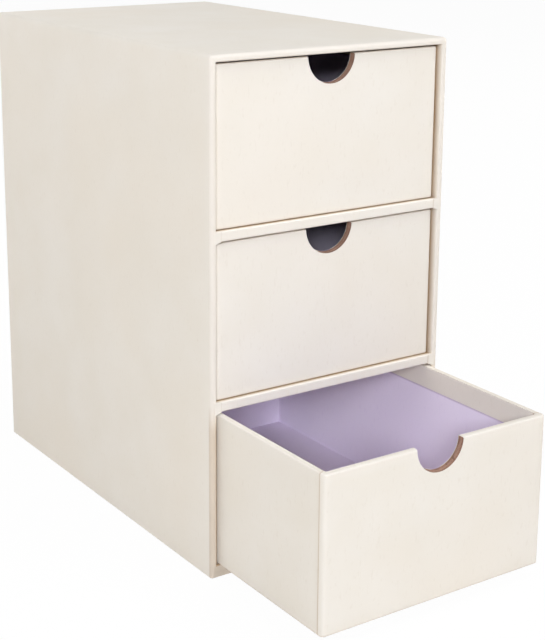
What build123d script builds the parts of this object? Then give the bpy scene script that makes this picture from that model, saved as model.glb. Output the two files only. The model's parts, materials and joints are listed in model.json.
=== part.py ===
"""Desktop chest of three drawers, made of rigid board covered with paper.

Millimetres, +Z up, the front towards -Y. The origin is the centre of the case's base,
on the surface that the chest stands on.
"""
from build123d import *
import os

os.makedirs("parts", exist_ok=True)

# Sheet materials
wall_board = 3.5  # rigid board of the case's walls and the drawers' walls
shelf_board = 5.25  # thicker board of the shelves
base_board = 7.0  # thickest board, under the case
floor_board_thickness = 2.5  # board under each drawer
paper = 0.25  # cover, lining and base papers
rim_radius = 1.2  # outside of the paper where it folds over a drawer's rim

# Case
case_width = 160
case_depth = 262
case_corner_radius = 2.2  # outside of the paper round the upright and top edges
compartment_height = 89.7
case_turn_in = 15  # cover paper that is folded into the mouth of the case
base_sheet_inset = 2  # bare rim round the sheet under a base
shelf_tab_width = 4.5  # paper tab over the joint of a shelf's front and a side wall

# Drawers
closed_recess = 3  # a shut drawer's front lies this far behind the front of the case
drawer_corner_radius = 2.4  # outside of the paper round the upright edges
side_clearance = 1
back_clearance = 1
slide_clearance = 0.3  # between a drawer's underside and what it slides on
top_clearance = 1.2
drawer_turn_in = 13  # cover paper that is folded over a wall's top edge, down the inside
front_flap = 5  # front paper that goes round the corner on to the side
notch_radius = 15.8  # half-round thumb notch, centred on the front's top edge
bottom_drawer_pull = 100  # the bottom drawer stands this far open

cut_overrun = 1  # cuts run this far past the faces that they open

# Sizes that follow
wall = wall_board + 2 * paper
shelf = shelf_board + 2 * paper
mouth_width = case_width - 2 * wall
storey = compartment_height + shelf
mouth_bottom = base_board + 2 * paper
mouth_top = mouth_bottom + 3 * compartment_height + 2 * shelf
case_height = mouth_top + wall
inside_back = case_depth - wall

drawer_width = mouth_width - 2 * side_clearance
drawer_length = case_depth - wall - closed_recess - back_clearance
drawer_height = compartment_height - slide_clearance - top_clearance
drawer_inner_floor = floor_board_thickness + 2 * paper


def block(low, high, mode=Mode.ADD):
    """A rectangular block between its lowest and highest corners."""
    with Locations(low):
        Box(
            high[0] - low[0],
            high[1] - low[1],
            high[2] - low[2],
            align=(Align.MIN, Align.MIN, Align.MIN),
            mode=mode,
        )


def keep(part, label):
    """Label a finished piece and write it to its own file."""
    part.label = label
    export_step(part, f"parts/{label}.step")


def folded_block(width, length, height, corner_radius, top_radius, inset):
    """A block with its front at zero, its upright and top edges rounded as folds.

    An inset of one paper gives the block that the boards fill, under the cover paper.
    """
    with BuildPart() as solid:
        block(
            (-width / 2 + inset, inset, inset),
            (width / 2 - inset, length - inset, height - inset),
        )
        fillet(solid.edges().filter_by(Axis.Z), corner_radius - inset)
        fillet(solid.faces().sort_by(Axis.Z)[-1].edges(), top_radius - inset)
    return solid.part


# Case: sizes are from the middle of its front edge, and the boards fill one block, cut into slabs
case_place = Plane(origin=(0, -case_depth / 2, 0))
case_folds = (case_width, case_depth, case_height, case_corner_radius, case_corner_radius)
case_outside = folded_block(*case_folds, 0)
case_core = folded_block(*case_folds, paper)

board_face = case_width / 2 - paper - wall_board  # inner faces of the side boards
board_floor = mouth_bottom - paper
board_ceiling = mouth_top + paper
board_back = inside_back + paper

case_slabs = {
    "case_left_board": ((-case_width, 0, 0), (-board_face, case_depth, case_height)),
    "case_right_board": ((board_face, 0, 0), (case_width, case_depth, case_height)),
    "case_top_board": ((-board_face, 0, board_ceiling), (board_face, case_depth, case_height)),
    "case_bottom_board": ((-board_face, 0, 0), (board_face, case_depth, board_floor)),
    "case_back_board": ((-board_face, board_back, board_floor), (board_face, case_depth, board_ceiling)),
}
for label, (low, high) in case_slabs.items():
    with BuildPart(case_place) as case_board:
        add(case_core)
        block(low, high, mode=Mode.INTERSECT)
    keep(case_board.part, label)

# Sheet on the flat of the back, between the folds of the cover paper
back_sheet_half = case_width / 2 - case_corner_radius
back_sheet_low = (-back_sheet_half, case_depth - paper, paper)
back_sheet_high = (back_sheet_half, case_depth, case_height - case_corner_radius)
with BuildPart(case_place) as case_back_sheet:
    block(back_sheet_low, back_sheet_high)
keep(case_back_sheet.part, "case_back_sheet")

# Sheet under the base
with BuildPart() as case_base_sheet:
    with BuildSketch(Plane.XY):
        Rectangle(case_width - 2 * base_sheet_inset, case_depth - 2 * base_sheet_inset)
    extrude(amount=paper)
keep(case_base_sheet.part, "case_base_sheet")

# Cover paper over the sides, the top and the front edges, turned into the mouth
with BuildPart(case_place) as case_wrap:
    add(case_outside)
    add(case_core, mode=Mode.SUBTRACT)
    block((-case_width, 0, 0), (case_width, case_depth, paper), mode=Mode.SUBTRACT)
    block(back_sheet_low, back_sheet_high, mode=Mode.SUBTRACT)
    block((-board_face, paper, board_floor), (board_face, case_turn_in, board_ceiling))
    block(
        (-mouth_width / 2, -cut_overrun, mouth_bottom),
        (mouth_width / 2, case_turn_in + cut_overrun, mouth_top),
        mode=Mode.SUBTRACT,
    )
keep(case_wrap.part, "case_wrap")

# Lining paper behind the turned-in cover, and on the inside of the back
with BuildPart(case_place) as case_lining:
    block((-board_face, case_turn_in, board_floor), (board_face, board_back, board_ceiling))
    block(
        (-mouth_width / 2, case_turn_in - cut_overrun, mouth_bottom),
        (mouth_width / 2, board_back + cut_overrun, mouth_top),
        mode=Mode.SUBTRACT,
    )
keep(case_lining.part, "case_lining")

with BuildPart(case_place) as case_back_lining:
    block((-mouth_width / 2, inside_back, mouth_bottom), (mouth_width / 2, board_back, mouth_top))
keep(case_back_lining.part, "case_back_lining")

# Shelves: a board in a folded paper, with a tab of paper over each end of the front edge
shelf_bottoms = {
    "lower_shelf": mouth_bottom + compartment_height,
    "upper_shelf": mouth_bottom + compartment_height + storey,
}
shelf_front = paper
for label, shelf_bottom in shelf_bottoms.items():
    shelf_low = (-mouth_width / 2, shelf_front, shelf_bottom)
    shelf_high = (mouth_width / 2, inside_back, shelf_bottom + shelf)
    board_low = (-mouth_width / 2, shelf_front + paper, shelf_bottom + paper)
    board_high = (mouth_width / 2, inside_back, shelf_bottom + shelf - paper)
    with BuildPart(case_place) as shelf_inside:
        block(board_low, board_high)
    keep(shelf_inside.part, f"{label}_board")
    with BuildPart(case_place) as shelf_wrap:
        block(shelf_low, shelf_high)
        block(board_low, board_high, mode=Mode.SUBTRACT)
    keep(shelf_wrap.part, f"{label}_wrap")

with BuildPart(case_place) as shelf_end_tabs:
    for shelf_bottom in shelf_bottoms.values():
        for tab_left in (-mouth_width / 2, mouth_width / 2 - shelf_tab_width):
            block(
                (tab_left, 0, shelf_bottom),
                (tab_left + shelf_tab_width, shelf_front, shelf_bottom + shelf),
            )
keep(shelf_end_tabs.part, "shelf_end_tabs")


def cut_notch():
    """Cut the half-round thumb notch through the front wall of the drawer that is being built."""
    with Locations((0, -cut_overrun, drawer_height)):
        Cylinder(
            notch_radius,
            wall + 2 * cut_overrun,
            rotation=(-90, 0, 0),
            align=(Align.CENTER, Align.CENTER, Align.MIN),
            mode=Mode.SUBTRACT,
        )


def make_drawer(name, shelves_below, pull):
    """One drawer in its compartment, pulled out by the given length, as ten named pieces.

    Sizes in here are from the middle of the drawer's front face at its underside.
    """
    underside = mouth_bottom + shelves_below * storey + slide_clearance
    place = Plane(origin=(0, closed_recess - pull - case_depth / 2, underside))
    folds = (drawer_width, drawer_length, drawer_height, drawer_corner_radius, rim_radius)
    outside = folded_block(*folds, 0)
    core = folded_block(*folds, paper)

    side = drawer_width / 2
    board_side = side - paper - wall_board  # inner faces of the boards
    board_front = paper + wall_board
    board_rear = drawer_length - board_front
    inner_side = side - wall  # inner faces of the papers
    inner_front = wall
    inner_rear = drawer_length - wall
    floor_top = paper + floor_board_thickness
    turn_in_edge = drawer_height - drawer_turn_in

    # Walls
    slabs = {
        "front_board": ((-side, 0, 0), (side, board_front, drawer_height)),
        "back_board": ((-side, board_rear, 0), (side, drawer_length, drawer_height)),
        "left_board": ((-side, board_front, 0), (-board_side, board_rear, drawer_height)),
        "right_board": ((board_side, board_front, 0), (side, board_rear, drawer_height)),
    }
    for label, (low, high) in slabs.items():
        with BuildPart(place) as wall_piece:
            add(core)
            block(low, high, mode=Mode.INTERSECT)
            if label == "front_board":
                cut_notch()
        keep(wall_piece.part, f"{name}_{label}")

    # Floor board between the walls, its lilac paper and the sheet underneath
    with BuildPart(place) as floor_board:
        block((-board_side, board_front, paper), (board_side, board_rear, floor_top))
    keep(floor_board.part, f"{name}_floor_board")

    with BuildPart(place) as floor_lining:
        block((-board_side, board_front, floor_top), (board_side, board_rear, drawer_inner_floor))
    keep(floor_lining.part, f"{name}_floor_lining")

    sheet_low = (-side + base_sheet_inset, base_sheet_inset, 0)
    sheet_high = (side - base_sheet_inset, drawer_length - base_sheet_inset, paper)
    with BuildPart(place) as base_sheet:
        block(sheet_low, sheet_high)
    keep(base_sheet.part, f"{name}_base_sheet")

    # Lilac strip on the walls, from the floor up to the turned-in cover paper
    with BuildPart(place) as wall_lining:
        block((-board_side, board_front, drawer_inner_floor), (board_side, board_rear, turn_in_edge))
        block(
            (-inner_side, inner_front, 0),
            (inner_side, inner_rear, drawer_height),
            mode=Mode.SUBTRACT,
        )
        cut_notch()
    keep(wall_lining.part, f"{name}_wall_lining")

    # Cover paper: round the outside, over the top edges and down the inside, cut in two at the seam
    pieces = {
        "front_sheet": ((-side, 0, 0), (side, front_flap, drawer_height)),
        "side_wrap": ((-side, front_flap, 0), (side, drawer_length, drawer_height)),
    }
    for label, (low, high) in pieces.items():
        with BuildPart(place) as cover:
            add(outside)
            add(core, mode=Mode.SUBTRACT)
            block(sheet_low, sheet_high, mode=Mode.SUBTRACT)
            block((-board_side, board_front, turn_in_edge), (board_side, board_rear, drawer_height))
            block(
                (-inner_side, inner_front, paper),
                (inner_side, inner_rear, drawer_height + cut_overrun),
                mode=Mode.SUBTRACT,
            )
            block(low, high, mode=Mode.INTERSECT)
            if label == "front_sheet":
                cut_notch()
        keep(cover.part, f"{name}_{label}")


make_drawer("bottom_drawer", 0, bottom_drawer_pull)
make_drawer("middle_drawer", 1, 0)
make_drawer("top_drawer", 2, 0)
print("case", case_width, case_depth, round(case_height, 2))
print("drawer", drawer_width, drawer_length, round(drawer_height, 2))
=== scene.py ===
# %% [markdown]
# # A chest of three drawers in paper-covered board
# The real chest is rigid brown board wrapped in cream paper. Its case has two shelves, and each drawer
# is a tray with a half-round thumb notch and a lilac lining. The packed model gives every piece its
# place and its motion, so this lesson loads it first and dresses it: folded papers, raw board edges and
# finishes.

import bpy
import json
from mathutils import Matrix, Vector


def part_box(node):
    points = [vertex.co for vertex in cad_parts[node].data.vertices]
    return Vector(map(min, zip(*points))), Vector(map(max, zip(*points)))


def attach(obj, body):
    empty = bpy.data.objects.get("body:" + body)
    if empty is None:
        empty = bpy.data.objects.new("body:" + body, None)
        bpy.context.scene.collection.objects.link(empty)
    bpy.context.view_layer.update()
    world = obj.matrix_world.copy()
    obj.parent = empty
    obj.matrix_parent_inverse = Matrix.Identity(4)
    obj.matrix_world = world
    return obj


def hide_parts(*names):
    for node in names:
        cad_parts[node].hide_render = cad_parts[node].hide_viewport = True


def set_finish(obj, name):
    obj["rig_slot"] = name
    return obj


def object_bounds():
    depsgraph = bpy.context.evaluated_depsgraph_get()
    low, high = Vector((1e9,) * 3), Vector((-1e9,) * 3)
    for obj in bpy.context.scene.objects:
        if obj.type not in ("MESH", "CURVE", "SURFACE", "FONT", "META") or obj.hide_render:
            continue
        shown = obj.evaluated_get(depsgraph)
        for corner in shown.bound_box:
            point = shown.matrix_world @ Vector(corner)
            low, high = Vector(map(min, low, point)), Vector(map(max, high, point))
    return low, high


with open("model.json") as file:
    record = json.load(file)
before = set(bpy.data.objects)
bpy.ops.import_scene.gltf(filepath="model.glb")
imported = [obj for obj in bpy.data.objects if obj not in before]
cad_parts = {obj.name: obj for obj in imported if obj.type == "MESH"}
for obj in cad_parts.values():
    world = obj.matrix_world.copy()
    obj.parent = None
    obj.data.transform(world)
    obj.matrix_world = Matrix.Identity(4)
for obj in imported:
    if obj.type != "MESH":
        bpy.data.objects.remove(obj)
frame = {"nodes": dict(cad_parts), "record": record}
cad_low, cad_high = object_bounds()
print("nodes", len(frame["nodes"]), "box", [round(side, 4) for side in cad_high - cad_low])

# %% [markdown]
# ## Camera
# The photograph looks down a little on the front and the left side. A camera could be aimed at a target,
# but its roll and lens would then be guesses. Here its place, its three turns and its focal length are
# written out, as they were found from the corners of the case and of the open drawer. The picture hangs
# a little below the optical axis, which is what the lens shift says.

# %% Camera at the photograph's viewing angle
import math

import bpy
import numpy as np
from mathutils import Matrix, Vector

photo_height = 640  # pixels
focal_length_pixels = 1461.5
axis_above_centre = 100  # pixels
sensor = 36.0  # millimetres, along the photograph's long side

camera_azimuth = math.radians(-34.407)
camera_elevation = math.radians(13.614)
camera_roll = math.radians(0.411)
camera_place = Vector((-0.4730, -0.7627, 0.3860))  # metres


def aim(azimuth, elevation, roll):
    """Rotation whose back axis points from the object to the camera, rolled about that axis."""
    back = Vector((
        math.sin(azimuth) * math.cos(elevation),
        -math.cos(azimuth) * math.cos(elevation),
        math.sin(elevation),
    ))
    right = Vector((math.cos(azimuth), math.sin(azimuth), 0))
    up = back.cross(right)
    rolled_right = right * math.cos(roll) + up * math.sin(roll)
    rolled_up = up * math.cos(roll) - right * math.sin(roll)
    return Matrix((rolled_right, rolled_up, back)).transposed()


camera = bpy.data.objects.new("camera", bpy.data.cameras.new("camera"))
camera.data.sensor_width = sensor
camera.data.lens = focal_length_pixels * sensor / photo_height
camera.data.shift_y = -axis_above_centre / photo_height
camera.matrix_world = Matrix.Translation(camera_place) @ aim(
    camera_azimuth, camera_elevation, camera_roll
).to_4x4()
bpy.context.scene.collection.objects.link(camera)
bpy.context.scene.camera = camera
print("lens", round(camera.data.lens, 2), "mm")

# %% [markdown]
# ## Sizes from the frame
# Nothing is measured twice. The packed nodes already say how wide the case is, how thick its walls are
# and where each drawer stands. Numbers could be copied from the model's source, but they would go stale
# when it changes, so the papers take their sizes from the nodes' boxes.

# %% Sizes of the case
mm = 0.001


def node_box(node):
    """Lowest and highest corner of a packed node at rest, as arrays."""
    low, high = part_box(node)
    return np.array(low), np.array(high)


case_low, case_high = node_box("case_wrap")
case_lining_low, _ = node_box("case_lining")
back_lining_low, back_lining_high = node_box("case_back_lining")
base_sheet_low, base_sheet_high = node_box("case_base_sheet")

paper = base_sheet_high[2] - base_sheet_low[2]
mouth_half = back_lining_high[0]
mouth_floor = back_lining_low[2]
case_front = case_low[1]
case_depth = case_high[1] - case_low[1]
case_wall = case_high[0] - mouth_half
case_turn_in = case_lining_low[1] - case_front
print("paper", round(paper / mm, 2), "mm, wall", round(case_wall / mm, 2), "mm")

# %% Sizes and places of the drawers
drawers = ["bottom_drawer", "middle_drawer", "top_drawer"]
front_sheet_low, _ = node_box("top_drawer_front_sheet")
wrap_low, wrap_high = node_box("top_drawer_side_wrap")
strip_low, strip_high = node_box("top_drawer_wall_lining")

drawer_half = wrap_high[0]
drawer_length = wrap_high[1] - front_sheet_low[1]
drawer_height = wrap_high[2] - wrap_low[2]
drawer_wall = case_wall
drawer_turn_in = wrap_high[2] - strip_high[2]
drawer_floor = strip_low[2] - wrap_low[2]
front_flap = wrap_low[1] - front_sheet_low[1]

drawer_corner = {}
for drawer in drawers:
    low, _ = node_box(f"{drawer}_front_sheet")
    drawer_corner[drawer] = np.array((0.0, low[1], low[2]))
print("drawer", round(drawer_length / mm, 2), "x", round(drawer_height / mm, 2), "mm")

# %% [markdown]
# ## Profiles
# A folded sheet is a section that runs straight, turns round a small radius and runs straight again.
# Bevelled boxes could give that, but a section written as runs and arcs keeps every fold where the maker
# made it.

# %% Runs and arcs that make a profile
def run(start, end, steps):
    """Points at even steps along a straight line."""
    share = np.linspace(0, 1, steps + 1)[:, None]
    return np.array(start) * (1 - share) + np.array(end) * share


def arc(centre, radius, start, end, steps=6):
    """Points on a circle: centre + radius (cos a, sin a), with a from start to end in degrees."""
    angle = np.radians(np.linspace(start, end, steps + 1))
    return np.column_stack((centre[0] + radius * np.cos(angle), centre[1] + radius * np.sin(angle)))


def chain(*stretches):
    """One profile from stretches that each start where the last one ended."""
    return np.concatenate([stretches[0]] + [stretch[1:] for stretch in stretches[1:]])


print("quarter fold", np.round(arc((1, 1), 1, 180, 90, steps=2), 2).tolist())

# %% [markdown]
# ## Carrying a profile round the box
# The case's mouth and a drawer's rim are both rectangles with slightly rounded corners, and the paper is
# folded over them all the way round. A sweep along a curve would twist or pinch at such tight corners.
# So each point of the profile walks its own rectangle, set in by its own amount, and deep points meet in
# a mitre as cut paper does.

# %% Walk a rounded rectangle
def even(start, end, count):
    """Evenly spaced values from start to end."""
    return np.linspace(start, end, count)


def column(values):
    """The same values as a column, which a row of profile points can be joined to."""
    return np.asarray(values)[:, None]


def carried_round(low, high, radii, first_inset, inset, stops, least_radius=0.0, steps=5):
    """Carries a profile round a rectangle, anticlockwise from the start of its first side.

    A profile point set in by some amount walks a rectangle that is smaller by that amount, whose corner
    radius is the outer radius less the inset, and at least the least radius. The first side may have its own
    insets. The stops are where each side has points, as a column, or as one column per point of the profile.
    The two arrays that come back have one row per point of the walk and one column per point of the profile.
    """
    left, right = low[0] + inset, high[0] - inset
    near, far = low[1] + first_inset, high[1] - inset
    near_bend = np.maximum(radii[0] - inset, least_radius)
    near_rise = np.maximum(radii[0] - first_inset, least_radius)
    far_bend = np.maximum(radii[1] - inset, least_radius)
    turn = column(even(0, np.pi / 2, steps + 1))
    first, second, third, fourth = stops

    def corner(across, along, bend, rise, quarter):
        """Quarter of an ellipse: (across + bend cos a, along + rise sin a), a from its own quarter on."""
        angle = turn + quarter * np.pi / 2
        return across + bend * np.cos(angle), along + rise * np.sin(angle)

    parts = [
        np.broadcast_arrays(first, near),
        corner(right - near_bend, near + near_rise, near_bend, near_rise, -1),
        np.broadcast_arrays(right, second),
        corner(right - far_bend, far - far_bend, far_bend, far_bend, 0),
        np.broadcast_arrays(third, far),
        corner(left + far_bend, far - far_bend, far_bend, far_bend, 1),
        np.broadcast_arrays(left, fourth),
        corner(left + near_bend, near + near_rise, near_bend, near_rise, 2),
    ]
    return tuple(np.concatenate([part[axis] for part in parts]) for axis in (0, 1))


trial_inset = np.array((0.0, 0.3))
trial_x, _ = carried_round((0, 0), (1, 1), (0.2, 0.2), trial_inset, trial_inset, [column((0.5,))] * 4)
print("a square and one set in by 0.3 are", np.round(np.ptp(trial_x, axis=0), 2).tolist(), "wide")

# %% [markdown]
# ## From grids of points to pieces
# Every sheet is one or more grids of points whose rows and columns turn outwards by the right-hand rule.
# They could stay separate, but merging equal points closes the seams between grids and the mitres. The
# Solidify modifier then gives the paper its thickness, inwards, and edges sharper than a fold stay
# crisp.

# %% Grids into a mesh
import bmesh

weld_distance = 0.002 * mm
crisp_angle = math.radians(38)


def grid_quads(rows, columns, closed):
    """Vertex numbers of a grid's quads, so that row direction x column direction points out."""
    row = np.arange(rows if closed else rows - 1)[:, None]
    next_row = (row + 1) % rows
    along = np.arange(columns - 1)[None, :]
    corners = (
        row * columns + along,
        next_row * columns + along,
        next_row * columns + along + 1,
        row * columns + along + 1,
    )
    return np.stack(corners, axis=-1).reshape(-1, 4)


def make_piece(name, grids, closed=False, thickness=0.0):
    """Joins (points, fold, stain) grids into one object at the origin.

    Points have the shape (rows, columns, 3). Fold is 0 on flat paper and 1 on a fold. Stain and shade is 1
    where glue or hands darken paper and where shade is painted in, and on board where a ply is paler. The
    finishes read both.
    """
    points, quads = [], []
    marks = {"fold": [], "stain_and_shade": []}
    count = 0
    for grid, fold, stain_and_shade in grids:
        rows, columns = grid.shape[:2]
        points.append(grid.reshape(-1, 3))
        marks["fold"].append(np.broadcast_to(fold, (rows, columns)).ravel())
        marks["stain_and_shade"].append(np.broadcast_to(stain_and_shade, (rows, columns)).ravel())
        quads.append(grid_quads(rows, columns, closed) + count)
        count += rows * columns
    mesh = bpy.data.meshes.new(name)
    mesh.from_pydata(np.concatenate(points).tolist(), [], np.concatenate(quads).tolist())
    for mark, values in marks.items():
        mesh.attributes.new(mark, "FLOAT", "POINT").data.foreach_set("value", np.concatenate(values))

    merged = bmesh.new()
    merged.from_mesh(mesh)
    bmesh.ops.remove_doubles(merged, verts=merged.verts, dist=weld_distance)
    merged.to_mesh(mesh)
    merged.free()

    piece = bpy.data.objects.new(name, mesh)
    bpy.context.scene.collection.objects.link(piece)
    if thickness:
        solidify = piece.modifiers.new("paper thickness", "SOLIDIFY")
        solidify.thickness = thickness
        solidify.offset = -1
        depsgraph = bpy.context.evaluated_depsgraph_get()
        piece.data = bpy.data.meshes.new_from_object(
            piece.evaluated_get(depsgraph), preserve_all_data_layers=True, depsgraph=depsgraph
        )
        piece.modifiers.clear()
    piece.data.shade_smooth()
    piece.data.set_sharp_from_angle(angle=crisp_angle)
    print(name, len(piece.data.vertices), "vertices")
    return piece


print("quads of a closed grid of 4 rows and 2 columns", grid_quads(4, 2, True).tolist())

# %% Give a piece its body, finish slot and nodes
new_pieces = []


def place(piece, body, slot, *nodes):
    """The piece moves with a body, takes a finish slot and stands for packed nodes."""
    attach(piece, body)
    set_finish(piece, slot)
    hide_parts(*nodes)
    new_pieces.append(piece)
    print(piece.name, "rides on", body)


# %% [markdown]
# ## Case cover
# One cream paper covers the sides, the top and the front edges of the case, and turns into the mouth.
# Four flat sheets could do it, but their folds would have to be joined at every corner. So one profile
# starts on the back, folds round to the outside, runs forward, folds over the front edge and ends
# inside, and carrying it round the case's outline gives all four walls at once. The base board is
# thicker, so the bottom of the mouth is set in further.

# %% Profile of the case cover
outer_fold = 2.2 * mm
mouth_fold = 0.8 * mm
base_fold = 0.6 * mm
base_rise = 0.2 * mm  # the lower front and back edges are pressed nearly square
back_lap = 3.6 * mm  # of the cover on the back, under the back sheet
back_step = 0.6 * paper  # the back sheet stands out from the cover by this much
cover_lift = 0.1 * mm  # the cover's underside lies within the base sheet's thickness

back_face = case_depth - back_step
case_profile = chain(
    run((back_lap, back_face), (outer_fold, back_face), steps=2),
    arc((outer_fold, back_face - outer_fold), outer_fold, 90, 180),
    run((0, back_face - outer_fold), (0, outer_fold), steps=30),
    arc((outer_fold, outer_fold), outer_fold, 180, 270),
    run((outer_fold, 0), (case_wall - mouth_fold, 0), steps=3),
    arc((case_wall - mouth_fold, mouth_fold), mouth_fold, 270, 360),
    run((case_wall, mouth_fold), (case_wall, case_turn_in), steps=10),
)
case_inset, case_back = case_profile.T
in_front = case_back < case_depth / 2

base_wall = mouth_floor - cover_lift
base_front_inset = np.interp(
    case_inset,
    (0, outer_fold, case_wall - mouth_fold, case_wall),
    (0, base_rise, base_wall - mouth_fold, base_wall),
)
base_back_inset = np.interp(case_inset, (0, outer_fold, back_lap), (0, base_rise, back_lap))
base_inset = np.where(in_front, base_front_inset, base_back_inset)
print("case profile", len(case_profile), "points")

# %% [markdown]
# ## Marks and painted shade in the paper
# Paper is rubbed where it is folded. Where it is turned in, it is painted tan, for glue that has soaked
# through and for the shade deep in the mouth. The front edges are a little soiled by hands, and beside
# the lowest drawer they are painted darker for the shadow of the open drawer, darkest on the mouth's
# inner edge there. Such marks could be painted on a picture. But the profile already knows where it
# turns and how deep it lies, so each mark is one number per point, kept with the mesh as an attribute.

# %% Folds, glue stains and painted shade
full_fold_turn = 0.2  # radians from one step of a profile to the next
stain_and_shade_reach = 5.2 * mm
stain_and_shade_curve = 1.5


def fold_weight(profile):
    """1 where a profile turns and 0 on its runs: the turn at a point over the full turn, at most 1."""
    steps = np.diff(profile, axis=0)
    heading = np.unwrap(np.arctan2(steps[:, 1], steps[:, 0]))
    turn = np.concatenate(([0], np.abs(np.diff(heading)), [0]))
    return np.clip(turn / full_fold_turn, 0, 1)


def stain_and_shade_weight(depth, reach):
    """0 at an edge and 1 from the reach inwards: depth over reach, to the power of the curve. It weighs glue
    stain and painted shade.
    """
    return np.clip(depth / reach, 0, 1) ** stain_and_shade_curve


in_mouth = (case_inset > case_wall - mouth_fold) & in_front
# The paper turned into the mouth is painted tan, more the deeper it lies: glue stain, and painted shade in
# the mouth's recess.
mouth_stain_and_shade = np.where(in_mouth, stain_and_shade_weight(case_back, stain_and_shade_reach), 0)
print("stained points of the case profile", int((mouth_stain_and_shade > 0).sum()))

# %% Case cover
side_clear = 5 * mm  # the sides' points keep these distances from the corners
base_clear = 10 * mm
top_clear = 7.1 * mm

across = even(side_clear - case_high[0], case_high[0] - side_clear, 21)
upright = even(base_clear, case_high[2] - top_clear, 40)
walk_x, walk_z = carried_round(
    (-case_high[0], cover_lift),
    (case_high[0], case_high[2]),
    (base_fold, outer_fold),
    base_inset,
    case_inset,
    [column(side) for side in (across, upright, across[::-1], upright[::-1])],
)
case_points = np.stack(np.broadcast_arrays(walk_x, case_front + case_back, walk_z), axis=-1)

# Painted shadow: low on the front, beside the lowest drawer, the frame is darkened for the open drawer's
# shade. A light soil on all front edges is dirt from hands.
edge_soil = 0.06
low_edge_shadow = 0.44  # on the frame beside the lowest drawer: painted shadow of the open drawer
inner_edge_shade = 1.0  # on the mouth's inner edge there: painted shade in the gap beside the drawer
low_shadow_top = 100 * mm
low_shadow_fade = 12 * mm
on_edge = (case_inset > 0) & (case_back < outer_fold)
low_shade = np.where(in_mouth & (case_back < mouth_fold), inner_edge_shade, low_edge_shadow)
low_share = np.clip((low_shadow_top - walk_z) / low_shadow_fade, 0, 1)
case_soil_and_shade = np.where(on_edge, edge_soil + (low_shade - edge_soil) * low_share, 0)
case_marks_and_shade = np.maximum(mouth_stain_and_shade, case_soil_and_shade)
case_cover = make_piece(
    "case_cover", [(case_points, fold_weight(case_profile), case_marks_and_shade)], closed=True, thickness=paper
)
place(case_cover, "case", "cover_paper", "case_wrap")

# %% [markdown]
# ## Back sheet
# A flat sheet closes the back and hides the cover's turned-over edges. The packed sheet lies flush beside
# those edges, but glued paper lies on top of them. So this plain grid overlaps them, stands out from them
# by its own thickness and leaves a narrow rim of the cover to be seen round it.

# %% Back sheet
back_rim = 2.5 * mm
sheet_x, sheet_z = np.meshgrid(
    even(case_high[0] - back_rim, back_rim - case_high[0], 12),
    even(back_rim, case_high[2] - back_rim, 20),
    indexing="ij",
)
back_points = np.stack(np.broadcast_arrays(sheet_x, case_high[1], sheet_z), axis=-1)
back_sheet = make_piece("back_sheet", [(back_points, 0.0, 0.0)], thickness=back_step)
place(back_sheet, "case", "cover_paper", "case_back_sheet")

# %% [markdown]
# ## Shelves
# Each shelf is a board in its own paper, folded round the front edge. A bevelled box could give the
# fold, but it would not say where the paper is stained and shaded. So the section runs forward under the
# shelf, round the edge and back over the top, and is carried straight across the mouth. Behind the edge
# it is painted tan, for glue and for the shade in the gaps beside the drawers, like the paper in the mouth.

# %% Shelf papers
shelves = ["upper_shelf", "lower_shelf"]
shelf_fold = 0.85 * mm
# Behind the front edge the paper is painted tan over this depth: glue stain, and painted shade in the gaps
# beside the drawers.
shelf_stain_and_shade_reach = 3.0 * mm
for shelf in shelves:
    shelf_low, shelf_high = node_box(f"{shelf}_wrap")
    thick = shelf_high[2] - shelf_low[2]
    deep = shelf_high[1] - shelf_low[1]
    section = chain(
        run((deep, 0), (shelf_stain_and_shade_reach, 0), steps=12),
        run((shelf_stain_and_shade_reach, 0), (shelf_fold, 0), steps=3),
        arc((shelf_fold, shelf_fold), shelf_fold, 270, 180),
        run((0, shelf_fold), (0, thick - shelf_fold), steps=4),
        arc((shelf_fold, thick - shelf_fold), shelf_fold, 180, 90),
        run((shelf_fold, thick), (shelf_stain_and_shade_reach, thick), steps=3),
        run((shelf_stain_and_shade_reach, thick), (deep, thick), steps=12),
    )
    shelf_x = column(even(shelf_low[0], shelf_high[0], 24))
    shelf_points = np.stack(
        np.broadcast_arrays(shelf_x, shelf_low[1] + section[:, 0], shelf_low[2] + section[:, 1]), axis=-1
    )
    shelf_stain_and_shade = stain_and_shade_weight(section[:, 0], shelf_stain_and_shade_reach)
    shelf_paper = make_piece(
        f"{shelf}_paper", [(shelf_points, fold_weight(section), shelf_stain_and_shade)], thickness=paper
    )
    place(shelf_paper, "case", "cover_paper", f"{shelf}_wrap")

# %% [markdown]
# ## Tabs at the shelves' ends
# A small tab of paper covers the joint between a shelf's front edge and the side wall. It is cut wider
# than the joint, so its lower edge sweeps down into the corner. A cut box would have straight edges, so
# the lower and upper edges of this grid are parabolas that start level at the inner end and drop or rise
# towards the wall.

# %% Shelf end tabs
tab_width = 3.0 * mm
tab_over_frame = 1.4 * mm
tab_drop = 1.1 * mm
tab_rise = 0.3 * mm
tab_stand = 0.1 * mm
tab_fold = 0.15
tab_edge_stain = 0.4
tab_reach = column(even(0, tab_width + tab_over_frame, 14))
tab_height = even(0, 1, 10)
toward_wall = np.clip(tab_reach / tab_width, 0, 1)
tab_grids = []
for shelf in shelves:
    shelf_low, shelf_high = node_box(f"{shelf}_wrap")
    bottom = shelf_low[2] - tab_drop * toward_wall ** 2
    top = shelf_high[2] + tab_rise * toward_wall ** 2
    tab_z = bottom + (top - bottom) * tab_height
    for side in (-1, 1):
        tab_x = side * (mouth_half - tab_width + tab_reach)
        tab_points = np.stack(np.broadcast_arrays(tab_x, case_front - tab_stand, tab_z), axis=-1)
        tab_stain = np.where(tab_reach == 0, tab_edge_stain, 0.0)
        if side < 0:
            tab_points = tab_points[::-1]
            tab_stain = tab_stain[::-1]
        tab_grids.append((tab_points, tab_fold, tab_stain))
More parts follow.
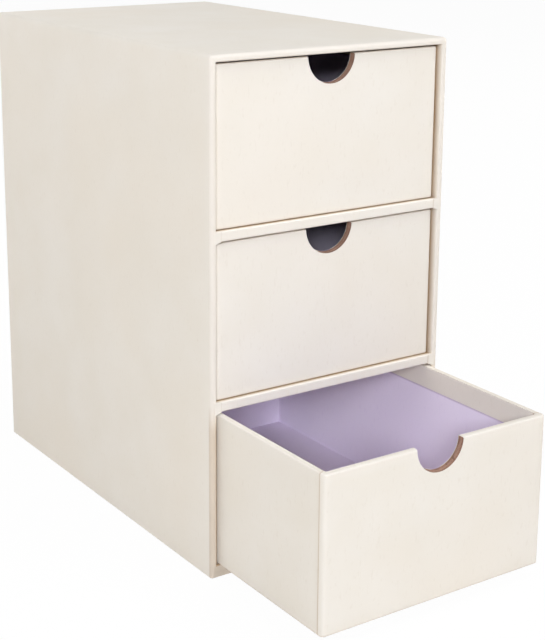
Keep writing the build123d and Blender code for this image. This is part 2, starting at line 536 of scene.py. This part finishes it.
end_tabs = make_piece("shelf_end_tab_papers", tab_grids, thickness=paper)
place(end_tabs, "case", "cover_paper", "shelf_end_tabs")

# %% [markdown]
# ## Drawer covers
# A drawer has two cream papers. One goes round the sides and the back. The other covers the front, goes
# round the corners by a narrow flap and is cut away at the thumb notch. Both fold over the rim and end
# inside. They could be two shapes of their own, but both are folded alike. So one section serves both, and
# for the side paper it is sunk, to lie a little deeper than the front paper's flap.

# %% Section of a drawer's paper
rim_fold = 1.0 * mm
corner_fold = 2.4 * mm
inner_fold = 0.6 * mm
foot_fold = 0.5 * mm
foot_lap = 3.6 * mm
foot_lift = 0.1 * mm
foot_shade_height = 1.5 * mm  # height up to which the foot is painted darker, for the shade under the drawer
hidden_lap = 2.0 * mm  # of the turned-in paper, under the lining
wrap_sink = 0.14 * mm  # the side paper lies this much deeper than the front paper's flap


def drawer_section(sink):
    """Section of a drawer's paper as (inset, height), and the number of its points on the outside.

    It starts under the drawer, turns up round the foot, runs up the outside, folds over the rim and ends on
    the inside. A sunk paper is set in by the same amount on every face.
    """
    top = drawer_height - sink
    inside = drawer_wall - sink
    outside = chain(
        run((foot_lap, foot_lift), (sink + foot_fold, foot_lift), steps=2),
        arc((sink + foot_fold, foot_lift + foot_fold), foot_fold, 270, 180),
        run((sink, foot_lift + foot_fold), (sink, foot_shade_height), steps=1),
        run((sink, foot_shade_height), (sink, drawer_height - rim_fold), steps=15),
    )
    turned_in = drawer_height - drawer_turn_in - hidden_lap
    over = chain(
        arc((rim_fold, drawer_height - rim_fold), rim_fold - sink, 180, 90),
        run((rim_fold, top), (drawer_wall - inner_fold, top), steps=2),
        arc((drawer_wall - inner_fold, drawer_height - inner_fold), inner_fold - sink, 90, 0),
        run((inside, drawer_height - inner_fold), (inside, turned_in), steps=10),
    )
    return chain(outside, over), len(outside)


front_section, outside_points = drawer_section(0.0)
wrap_section, _ = drawer_section(wrap_sink)
print("drawer section", len(front_section), "points,", outside_points, "outside")

# %% [markdown]
# ## The thumb notch
# The notch is a half circle centred on the rim, and its cut leans, so it is a little narrower at the
# back of the board. A boolean cut would leave ragged edges, so the grid's own columns follow the circle
# instead. Left and right of the notch the paper folds over the rim as anywhere else, but its first
# column slides along the circle as the section goes down.

# %% The notch's circle
notch_radius = 15.8 * mm
notch_lean = 0.45 * mm  # the cut narrows by this much from front to back


def notch_circle(inset):
    """Radius of the notch at a distance behind the front face."""
    return notch_radius - notch_lean * inset / drawer_wall


def notch_half_width(depth, inset):
    """Half the notch's width at a depth below the rim: sqrt(radius^2 - depth^2)."""
    return np.sqrt(np.maximum(notch_circle(inset) ** 2 - depth ** 2, 0))


def notch_bottom(x, inset):
    """Height of the notch's edge at x: the rim less sqrt(radius^2 - x^2)."""
    return drawer_height - np.sqrt(np.maximum(notch_circle(inset) ** 2 - x ** 2, 0))


print("notch width", [round(2 * notch_circle(inset) / mm, 2) for inset in (0, drawer_wall)], "mm")

# %% Columns that follow the notch
column_end = 70 * mm  # the front's and the back's columns end here, clear of the corners
half_columns = 16
section_inset, section_height = front_section.T
section_depth = np.clip(drawer_height - section_height, 0, None)
is_outside = np.arange(len(section_depth)) < outside_points
section_start = notch_half_width(
    np.where(is_outside, rim_fold, section_depth), np.where(is_outside, 0, section_inset)
)
front_x = section_start + (column_end - section_start) * column(even(0, 1, half_columns))
near_stops = front_x[:, :1]
print("front columns start", round(near_stops[0, 0] / mm, 2), "mm from the middle")

# %% Seam of the front flap, and the other sides' columns
flap_width = 3.4 * mm
seam_steps = column((0, 0.3 * mm, 0.8 * mm, 1.4 * mm))
after_seam = 4 * mm
corner_clear = 6 * mm
seam_line = flap_width + (front_flap - flap_width) * section_inset / drawer_wall
side_column = column(even(front_flap + after_seam, drawer_length - corner_clear, 24))
side_stops = np.concatenate((
    seam_line + seam_steps,
    np.broadcast_to(side_column, (len(side_column), len(seam_line))),
))
back_stops = column(even(column_end, -column_end, 16))
drawer_stops = (
    np.concatenate((-near_stops[::-1], near_stops)), side_stops, back_stops, side_stops[::-1]
)
print("columns on a side", len(side_stops), "and on the back", len(back_stops))

# %% A drawer's section carried round
corner_steps = 6


def drawer_walk(section):
    """A drawer section carried round the drawer: points of the whole walk, front left corner first."""
    inset, height = section.T
    drawer_x, drawer_y = carried_round(
        (-drawer_half, 0),
        (drawer_half, drawer_length),
        (corner_fold, corner_fold),
        inset,
        inset,
        drawer_stops,
        steps=corner_steps,
    )
    return np.stack(np.broadcast_arrays(drawer_x, drawer_y, height), axis=-1)


front_walk = drawer_walk(front_section)
front_walk[:half_columns, :, 0] = -front_x[::-1]
front_walk[half_columns:2 * half_columns, :, 0] = front_x
print("drawer walk", front_walk.shape)

# %% [markdown]
# ## Front and side papers of a drawer
# The front paper is one sheet with a half-round hole at its upper edge. One grid can't have a hole, so
# three grids make the sheet: the ones left and right of the notch are the walk's own rows, folded over
# the rim, and the one under it is the outside alone, squeezed so that it ends on the circle. The side
# paper is the rest of the walk, made with the sunk section. Dirt gathers along its seam, and along the
# foot both papers are painted darker for the shade under the drawer.

# %% Front paper in three grids
notch_columns = 40
foot_shade_share = 0.3
right_seam = 2 * half_columns + corner_steps + 1
left_seam = len(front_walk) - corner_steps - 2
left_rows = np.r_[left_seam:len(front_walk), 0:half_columns]
right_rows = np.arange(half_columns, right_seam + 1)

notch_turn = math.asin(rim_fold / notch_radius)
middle_x = notch_radius * np.cos(column(even(math.pi - notch_turn, notch_turn, notch_columns)))
middle_height = section_height[:outside_points]
foot_top = foot_lift + foot_fold
squeeze = (notch_bottom(middle_x, 0) - foot_top) / (drawer_height - rim_fold - foot_top)
middle_height = np.where(
    middle_height > foot_top, foot_top + (middle_height - foot_top) * squeeze, middle_height
)
middle_grid = np.stack(
    np.broadcast_arrays(middle_x, section_inset[:outside_points], middle_height), axis=-1
)

# Along the foot both papers are painted darker: painted shade under the drawer.
front_fold = fold_weight(front_section)
foot_share = np.clip(1 - (section_height - foot_lift) / foot_shade_height, 0, 1)
foot_shade = np.where(is_outside, foot_shade_share * foot_share, 0)
front_grids = [
    (front_walk[left_rows], front_fold, foot_shade),
    (middle_grid, front_fold[:outside_points], foot_shade[:outside_points]),
    (front_walk[right_rows], front_fold, foot_shade),
]
print("front paper grids", [points.shape[:2] for points, _, _ in front_grids])

# %% Front and side papers of each drawer
seam_mark = 0.8
seam_reach = 1.5 * mm
wrap_walk = drawer_walk(wrap_section)[right_seam:left_seam + 1]
seam_stain = seam_mark * np.clip(1 - (wrap_walk[:, :, 1] - seam_line) / seam_reach, 0, 1)
wrap_grids = [(wrap_walk, fold_weight(wrap_section), np.maximum(seam_stain, foot_shade))]


def moved(grids, corner):
    """The same grids, moved to a drawer's place."""
    return [(points + corner, fold, stain_and_shade) for points, fold, stain_and_shade in grids]


for drawer in drawers:
    corner = drawer_corner[drawer]
    front_paper = make_piece(f"{drawer}_front_paper", moved(front_grids, corner), thickness=paper)
    place(front_paper, drawer, "cover_paper", f"{drawer}_front_sheet")
    side_paper = make_piece(
        f"{drawer}_side_paper", moved(wrap_grids, corner), thickness=paper - wrap_sink
    )
    place(side_paper, drawer, "cover_paper", f"{drawer}_side_wrap")

# %% [markdown]
# ## Front boards
# The notch shows the raw board between its papers. The packed board is cut straight through, and has no
# points in its thickness that could tell one ply from the next. So this board is a section of its own,
# rounded under the rim's fold and carried across, where the leaning notch cuts off everything that stands
# above the circle. Its two ends are closed by drawing the section together to one point, and rounded as the
# paper's corners are: the front steps back by the radius less the rest of the circle.

# %% Section of a front board
board_front = paper
board_back = drawer_wall - paper
board_top = drawer_height - paper
ply_count = 1
board_section = chain(
    run((board_front, paper), (board_front, drawer_height - rim_fold), steps=6),
    arc((rim_fold, drawer_height - rim_fold), rim_fold - paper, 180, 90),
    run((rim_fold, board_top), (drawer_wall - inner_fold, board_top), steps=12),
    arc((drawer_wall - inner_fold, drawer_height - inner_fold), inner_fold - paper, 90, 0),
    run((board_back, drawer_height - inner_fold), (board_back, paper), steps=6),
    run((board_back, paper), (board_front, paper), steps=2),
)
board_inset, board_rise = board_section.T
ply_turn = 2 * math.pi * ply_count * (board_inset - board_front) / (board_back - board_front)
plies = 0.5 - 0.5 * np.cos(ply_turn)  # 0 at the board's faces and 1 in the middle of a paler ply
print("board", round((board_back - board_front) / mm, 2), "mm thick")

# %% Front boards
beside_notch = 4 * mm
corner_start = drawer_half - corner_fold
corner_reach = corner_fold - paper
board_corner = corner_start + corner_reach * np.sin(even(0, math.pi / 2, 8))
board_half = column(np.concatenate((even(notch_radius + beside_notch, column_end, 6), board_corner)))
board_half = np.broadcast_to(board_half, (len(board_half), len(board_inset)))
board_x = np.concatenate((
    -board_half[::-1],
    notch_circle(board_inset) * np.cos(column(even(math.pi, 0, 48))),
    board_half,
))
past_corner = np.clip(np.abs(board_x) - corner_start, 0, corner_reach)
board_recess = corner_fold - np.sqrt(corner_reach ** 2 - past_corner ** 2)
board_depth = np.maximum(board_inset, board_recess)
board_height = np.minimum(board_rise, notch_bottom(board_x, board_inset))
board_height = np.minimum(board_height, drawer_height - board_recess)
board_points = np.stack((board_x, board_depth, board_height), axis=-1)

cap_depth = (board_front + board_back) / 2
cap_height = (paper + board_top) / 2
end_caps = np.stack(np.broadcast_arrays(board_x[[0, -1]], cap_depth, cap_height), axis=-1)
board_points = np.concatenate((end_caps[:1], board_points, end_caps[1:]))
for drawer in drawers:
    board = make_piece(f"{drawer}_front_core", moved([(board_points, 0.0, plies)], drawer_corner[drawer]))
    place(board, drawer, "raw_board", f"{drawer}_front_board")

# %% [markdown]
# ## Lilac lining of the walls
# A strip of lilac paper covers the inside of the walls, from the floor to just over the edge of the
# turned-in cream paper. Four flat sheets would meet in hard corners, so the strip walks round the inside
# of the drawer with slightly rounded ones. Its upper edge is cut round the notch and is a little rubbed.

# %% Upper edge of the lining, cut round the notch
lining_top = drawer_height - drawer_turn_in
lining_notch = notch_half_width(drawer_turn_in, drawer_wall)
lining_turn = math.asin(drawer_turn_in / notch_circle(drawer_wall))
lining_front = np.concatenate((
    even(-column_end, -lining_notch, 10)[:-1],
    notch_circle(drawer_wall) * np.cos(even(math.pi - lining_turn, lining_turn, 24)),
    even(lining_notch, column_end, 10)[1:],
))
print("the lining's cut is", round(2 * lining_notch / mm, 1), "mm wide at its upper edge")

# %% Wall lining
lining_stand = 0.1 * mm
lining_corner = 0.8 * mm
lining_slack = 0.05 * mm  # the strip is thinner than the other papers by this much
edge_middle = 0.5 * mm
rubbed_edge = 1.2 * mm
below_edge = 5 * mm
lining_height = lining_top - drawer_floor
lining_drop = np.concatenate(((0, edge_middle, rubbed_edge), even(below_edge, lining_height, 10)))
lining_stain = np.clip(1 - lining_drop / rubbed_edge, 0, 1)
lining_inset = np.full(len(lining_drop), drawer_wall + lining_stand)
lining_side = even(corner_clear, drawer_length - corner_clear, 30)
strip_x, strip_y = carried_round(
    (-drawer_half, 0),
    (drawer_half, drawer_length),
    (0, 0),
    lining_inset,
    lining_inset,
    (column(lining_front), column(lining_side), back_stops, column(lining_side[::-1])),
    least_radius=lining_corner,
)
cut_top = np.full(len(strip_x), lining_top)
cut_top[:len(lining_front)] = np.minimum(lining_top, notch_bottom(lining_front, drawer_wall))
strip_z = drawer_floor + (column(cut_top) - drawer_floor) * (1 - lining_drop / lining_height)
strip_points = np.stack((strip_x, strip_y, strip_z), axis=-1)
for drawer in drawers:
    strip = make_piece(
        f"{drawer}_lilac_strip",
        moved([(strip_points, 0.0, lining_stain)], drawer_corner[drawer]),
        closed=True,
        thickness=paper - lining_slack,
    )
    place(strip, drawer, "lining_paper", f"{drawer}_wall_lining")

# %% [markdown]
# ## Writing finishes as sums
# A finish is a small net of shader nodes. Wiring it by hand hides the idea, so one class wraps a socket
# and lets sums be written as sums. Colours are mixed by Mix nodes, because a Math node would turn them
# grey.

# %% A socket that can be added and multiplied
class Wire:
    """An output socket of a material. Sums and products with numbers or other wires add Math nodes."""

    def __init__(self, socket):
        self.socket = socket

    def node(self, kind, settings=None, inputs=None, output=0):
        """Adds a node: its settings first, then the values or links of its sockets. Returns one output."""
        tree = self.socket.id_data
        made = tree.nodes.new(kind)
        for setting, value in (settings or {}).items():
            setattr(made, setting, value)
        for key, value in (inputs or {}).items():
            if isinstance(value, Wire):
                tree.links.new(value.socket, made.inputs[key])
            else:
                made.inputs[key].default_value = value
        return Wire(made.outputs[output])

    def math(self, operation, first, second):
        """A Math node on two wires or numbers."""
        return self.node("ShaderNodeMath", {"operation": operation}, {0: first, 1: second})

    def __add__(self, other):
        return self.math("ADD", self, other)

    def __radd__(self, other):
        return self.math("ADD", other, self)

    def __sub__(self, other):
        return self.math("SUBTRACT", self, other)

    def __rsub__(self, other):
        return self.math("SUBTRACT", other, self)

    def __mul__(self, other):
        return self.math("MULTIPLY", self, other)

    def __rmul__(self, other):
        return self.math("MULTIPLY", other, self)

    def noise(self, scale, detail, stretch=(1, 1, 1)):
        """Cloudy values from 0 to 1 over these coordinates, about scale clouds to the metre."""
        stretched = self.node("ShaderNodeVectorMath", {"operation": "MULTIPLY"}, {0: self, 1: stretch})
        return self.node(
            "ShaderNodeTexNoise", None, {"Vector": stretched, "Scale": scale, "Detail": detail}
        )

    def attribute(self, name):
        """A number that the mesh keeps for each of its points."""
        return self.node("ShaderNodeAttribute", {"attribute_name": name}, output="Fac")

    def between(self, low, high):
        """This value spread so that low becomes 0 and high becomes 1, clamped."""
        return self.node(
            "ShaderNodeMapRange", {"clamp": True}, {"Value": self, "From Min": low, "From Max": high}
        )

    def mix(self, first, second):
        """A colour between two, with this value as the share of the second."""
        return self.node(
            "ShaderNodeMix", {"data_type": "RGBA"}, {0: self, 6: first, 7: second}, output=2
        )


print("sums and nodes:", [name for name in vars(Wire) if not name.startswith("__")])

# %% Colours, and a new material to feed
def linear(red, green, blue):
    """A screen colour from 0 to 255 as the linear colour that shaders use, with full opacity."""
    screen = np.array((red, green, blue)) / 255
    light = np.where(screen <= 0.04045, screen / 12.92, ((screen + 0.055) / 1.055) ** 2.4)
    return (*light.tolist(), 1.0)


def new_finish(name):
    """A new material, its object coordinates as a wire, and its shader."""
    finish = bpy.data.materials.new(name)
    finish.use_nodes = True
    tree = finish.node_tree
    coordinates = Wire(tree.nodes.new("ShaderNodeTexCoord").outputs["Object"])
    shader = tree.nodes["Principled BSDF"]
    return finish, coordinates, shader


def feed(shader, **values):
    """Links wires to a shader's sockets, or sets plain values on them."""
    for name, value in values.items():
        socket = shader.inputs[name.replace("_", " ")]
        if isinstance(value, Wire):
            shader.id_data.links.new(value.socket, socket)
        else:
            socket.default_value = value


print("half grey on the screen is", round(linear(128, 128, 128)[0], 3), "in linear light")

# %% [markdown]
# ## Cream and lilac papers
# The cover and the lining are uncoated paper glued to board. From near neither is one colour: the glue
# lets soft clouds show, fibres make fine flecks, folds are rubbed, and glue and hands leave stains; shade
# in the mouth, in gaps and along the feet is painted in with the stains. A photograph of paper could be
# laid on, but it would stretch at the folds. So clouds, flecks, folds, stains and painted shade are masks
# that mix close shades of one colour, cream or lilac, and a fine grain bumps the surface.

# %% Papers
patch_share = 0.6
fibre_share = 0.35
rub_share = 0.5
even_stain_and_shade = 0.8  # share of the stain and painted shade that is even; clouds break up the rest
grain_depth = 0.05 * mm


def paper_finish(name, light, dark, warm, fleck, rubbed, stained_and_shaded):
    """A matt paper: clouds from dark to light, warm patches, fine flecks, rubbed folds, and stains with
    painted shade.
    """
    finish, place_on, shader = new_finish(name)
    clouds = place_on.noise(scale=26, detail=4).between(0.32, 0.68)
    patches = place_on.noise(scale=9, detail=2).between(0.42, 0.72)
    fibres = place_on.noise(scale=700, detail=2, stretch=(1, 1, 0.35)).between(0.60, 0.76)
    grain = place_on.noise(scale=1500, detail=3)
    fold = place_on.attribute("fold")
    stain_and_shade = place_on.attribute("stain_and_shade")
    colour = clouds.mix(dark, light)
    colour = (patches * patch_share).mix(colour, warm)
    colour = (fibres * fibre_share).mix(colour, fleck)
    colour = (fold * rub_share).mix(colour, rubbed)
    # This mix darkens paper towards the stain colour for glue stains and for painted shade alike.
    colour = (stain_and_shade * (even_stain_and_shade + clouds * (1 - even_stain_and_shade))).mix(colour, stained_and_shaded)
    bump = place_on.node(
        "ShaderNodeBump",
        None,
        {"Strength": 0.18, "Distance": grain_depth, "Height": grain + clouds * 0.6},
    )
    feed(
        shader,
        Base_Color=colour,
        Roughness=0.58 + grain * 0.14 - fold * 0.06,
        Specular_IOR_Level=0.35,
        Normal=bump,
    )
    print(name, len(finish.node_tree.nodes), "nodes")
    return finish


cream = paper_finish(
    "cream_cover_paper",
    light=linear(235, 229, 219),
    dark=linear(232, 225, 213),
    warm=linear(234, 225, 211),
    fleck=linear(223, 214, 200),
    rubbed=linear(234, 227, 217),
    # Glue stain, and painted shade in the mouth, in the shelf gaps, beside the lowest drawer and along the
    # feet.
    stained_and_shaded=linear(176, 144, 104),
)
lilac = paper_finish(
    "lilac_lining_paper",
    light=linear(242, 232, 249),
    dark=linear(239, 228, 247),
    warm=linear(241, 229, 246),
    fleck=linear(229, 215, 239),
    rubbed=linear(243, 233, 250),
    stained_and_shaded=linear(188, 170, 194),
)

# %% [markdown]
# ## Raw board
# Board is brown pulp in layers pressed together, so its cut edge shows streaks along the layers, and a
# paler ply in the middle. A wave texture could draw the layers, but too evenly. The layers of a drawer's
# front lie one behind the other, so noise is squeezed to change quickly from front to back and slowly
# along the cut, and the paler ply comes from the number that the board keeps for its plies.

# %% Raw board
ply_share = 0.6
layer_share = 0.65
speck_share = 0.5
pulp_depth = 0.12 * mm


def board_finish(name, light, dark, speck):
    """Brown layered board: a paler ply and streaks, broken up by fibres and dark specks."""
    finish, place_on, shader = new_finish(name)
    paler_ply = place_on.attribute("stain_and_shade")
    streaks = place_on.noise(scale=160, detail=3, stretch=(1, 6, 1)).between(0.38, 0.62)
    fibres = place_on.noise(scale=900, detail=2, stretch=(1, 2, 1)).between(0.35, 0.7)
    specks = place_on.noise(scale=420, detail=1).between(0.66, 0.74)
    layers = paler_ply * ply_share + streaks * (1 - ply_share)
    colour = (layers * layer_share + fibres * (1 - layer_share)).mix(dark, light)
    colour = (specks * speck_share).mix(colour, speck)
    bump = place_on.node(
        "ShaderNodeBump",
        None,
        {"Strength": 0.5, "Distance": pulp_depth, "Height": layers + fibres * 0.5},
    )
    feed(shader, Base_Color=colour, Roughness=0.82 + fibres * 0.1, Specular_IOR_Level=0.25, Normal=bump)
    print(name, len(finish.node_tree.nodes), "nodes")
    return finish


raw_board = board_finish(
    "raw_brown_board",
    light=linear(182, 145, 125),
    dark=linear(102, 70, 56),
    speck=linear(96, 66, 52),
)

# %% [markdown]
# ## Finishes on the pieces
# Every piece of the chest is cream paper, lilac paper or raw board. The finishes could be given out by
# hand, piece by piece, but the record already says which slot a packed node has, and each new piece
# carries its own. So one table from slot to finish dresses them all.

# %% Finishes on the pieces and on the packed nodes that stay
finish_of = {"cover_paper": cream, "lining_paper": lilac, "raw_board": raw_board}
slot_of = {part["node"]: part["material_slot"] for part in frame["record"]["subparts"]}
for node, part in frame["nodes"].items():
    part.data.materials.clear()
    part.data.materials.append(finish_of[slot_of[node]])
for piece in new_pieces:
    piece.data.materials.append(finish_of[piece["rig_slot"]])
print("finished", len(frame["nodes"]), "nodes and", len(new_pieces), "new pieces")

# %% [markdown]
# ## Floor
# The photograph has no visible ground: the chest stands on white. A backdrop could be left out, but then
# the chest would float. So the floor is pale paper for all light that bounces off it, and for the camera
# it is mostly plain white, which leaves a faint shadow under the chest.

# %% A wide floor
floor_half = 6.0
floor_drop = 0.3 * mm
floor_mesh = bpy.data.meshes.new("floor")
floor_mesh.from_pydata(
    [(x * floor_half, y * floor_half, -floor_drop) for x, y in ((-1, -1), (1, -1), (1, 1), (-1, 1))],
    [],
    [(0, 1, 2, 3)],
)
floor = bpy.data.objects.new("floor", floor_mesh)
bpy.context.scene.collection.objects.link(floor)
print("floor", 2 * floor_half, "m wide")

# %% Finish of the floor
white = (1.0, 1.0, 1.0, 1.0)
floor_whiteness = 0.97  # share of plain white in what the camera sees of the floor


def seen_directly(any_wire):
    """1 for light that reaches the camera straight, by a mirror or through glass, and 0 for other light."""
    camera_ray = any_wire.node("ShaderNodeLightPath", output="Is Camera Ray")
    glossy_ray = any_wire.node("ShaderNodeLightPath", output="Is Glossy Ray")
    clear_ray = any_wire.node("ShaderNodeLightPath", output="Is Transmission Ray")
    return (camera_ray + glossy_ray + clear_ray).between(0, 1)


floor_finish, floor_place, floor_shader = new_finish("pale_floor")
floor_clouds = floor_place.noise(scale=3, detail=2)
pale_paper = floor_clouds.mix(linear(211, 205, 196), linear(215, 209, 200))
bright_paper = floor_clouds.mix(linear(249, 249, 248), linear(252, 252, 251))
feed(
    floor_shader,
    Base_Color=seen_directly(floor_place).mix(pale_paper, bright_paper),
    Roughness=0.8 + floor_clouds * 0.1,
)
plain_white = floor_place.node("ShaderNodeEmission", None, {"Color": white, "Strength": 1.0})
floor_seen = floor_place.node(
    "ShaderNodeMixShader",
    None,
    {0: seen_directly(floor_place) * floor_whiteness, 1: Wire(floor_shader.outputs[0]), 2: plain_white},
)
feed(floor_finish.node_tree.nodes["Material Output"], Surface=floor_seen)
floor.data.materials.append(floor_finish)
print(floor_finish.name, len(floor_finish.node_tree.nodes), "nodes")

# %% [markdown]
# ## White surroundings
# Round the chest the photograph is plain white. A bright world would give that, but it would also light
# the chest from every side and take the shade out of the folds. So the world is white only for what the
# camera and mirrors see, and lights the chest in no other way.

# %% Surroundings
world = bpy.data.worlds.new("white_studio")
world.use_nodes = True
bpy.context.scene.world = world
background = world.node_tree.nodes["Background"]
feed(background, Color=white, Strength=seen_directly(Wire(background.outputs[0])))
bpy.context.scene.view_settings.view_transform = "Standard"
print(world.name, len(world.node_tree.nodes), "nodes")

# %% [markdown]
# ## Soft panels
# The light in the photograph is soft and nearly the same on all sides, and it reaches deep into the open
# drawer. One large lamp could light the outside but would leave the drawer dark. So two small panels just
# above the camera look into the drawer, one hangs high on each side and one above to the right, and three
# large ones stand behind on the left, far to the right and at the back.

# %% Soft panels
panel_distance = 2.4  # metres
chest_middle = (cad_low + cad_high) / 2
cool = (0.96, 1.0, 1.08)
plain = (1.0, 1.0, 1.0)
warm = (1.03, 1.0, 0.95)


def soft_panel(name, azimuth, elevation, size, power, colour):
    """A rectangular lamp at the panel distance that faces the chest's middle, with its angles in degrees."""
    panel = bpy.data.objects.new(name, bpy.data.lights.new(name, "AREA"))
    panel.data.shape = "RECTANGLE"
    panel.data.size, panel.data.size_y = size
    panel.data.energy = power
    panel.data.color = colour
    turn = aim(math.radians(azimuth), math.radians(elevation), 0.0)
    panel.matrix_world = Matrix.Translation(chest_middle + turn.col[2] * panel_distance) @ turn.to_4x4()
    panel.visible_camera = False
    bpy.context.scene.collection.objects.link(panel)
    print(name, [round(value, 2) for value in panel.matrix_world.translation], power, "W")


soft_panel("camera_side_panel", azimuth=-34, elevation=19, size=(0.5, 0.35), power=24.0, colour=cool)
soft_panel("upper_left_panel", azimuth=-40, elevation=24, size=(0.6, 0.4), power=12.5, colour=cool)
soft_panel("high_right_panel", azimuth=25, elevation=42, size=(1.2, 1.2), power=11.0, colour=cool)
soft_panel("high_left_panel", azimuth=-75, elevation=42, size=(1.2, 1.2), power=5.0, colour=warm)
soft_panel("top_panel", azimuth=45, elevation=60, size=(1.2, 1.2), power=22.0, colour=plain)
soft_panel("left_back_panel", azimuth=-142, elevation=18, size=(1.6, 1.6), power=22.0, colour=plain)
soft_panel("far_right_panel", azimuth=95, elevation=5, size=(1.6, 1.6), power=28.0, colour=warm)
soft_panel("back_panel", azimuth=170, elevation=4, size=(1.6, 1.6), power=13.0, colour=warm)

# %% [markdown]
# ## Last cell
# The last cell only imports json.

# %% Import json
import json
